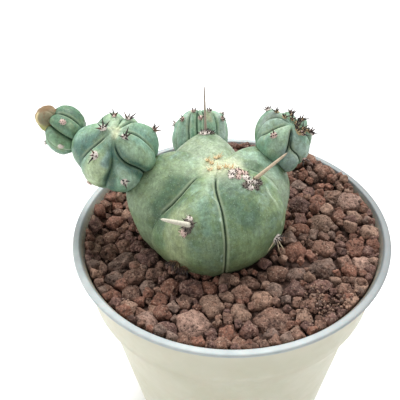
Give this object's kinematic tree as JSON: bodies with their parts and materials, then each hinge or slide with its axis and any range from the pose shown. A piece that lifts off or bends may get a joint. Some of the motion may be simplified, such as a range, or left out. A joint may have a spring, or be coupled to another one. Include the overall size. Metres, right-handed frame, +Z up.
{
  "type": "potted blue myrtle cactus",
  "caption": "Squat ribbed blue-green cactus with young heads on its shoulders, standing in lava grit in a round tapered nursery pot.",
  "frame": {"origin": "centre of the pot's foot, on the surface that it stands on", "axes": "+Z up along the pot's axis, -Y towards the front, +X to the right seen from the front"},
  "size_m": [0.1138, 0.105, 0.1323],
  "materials": {
    "pot_plastic": "satin pale cream-grey nursery plastic, slightly translucent",
    "lava": "rough porous brown-red lava stone",
    "stem_skin": "waxy blue-green cactus skin with a pale bloom",
    "young_skin": "waxy blue-green skin of the young heads",
    "bud_skin": "tan woolly growing tip",
    "spine": "hard dry spine, straw to dark brown",
    "wool": "short off-white areole wool"
  },
  "bodies": {
    "root": {"pot": "pot_plastic", "lava_grit": "lava", "main_stem": "stem_skin", "left_offset": "young_skin", "far_left_offset": "young_skin", "far_left_bud": "bud_skin", "rear_offset": "young_skin", "right_offset": "young_skin"}
  },
  "joints": []
}
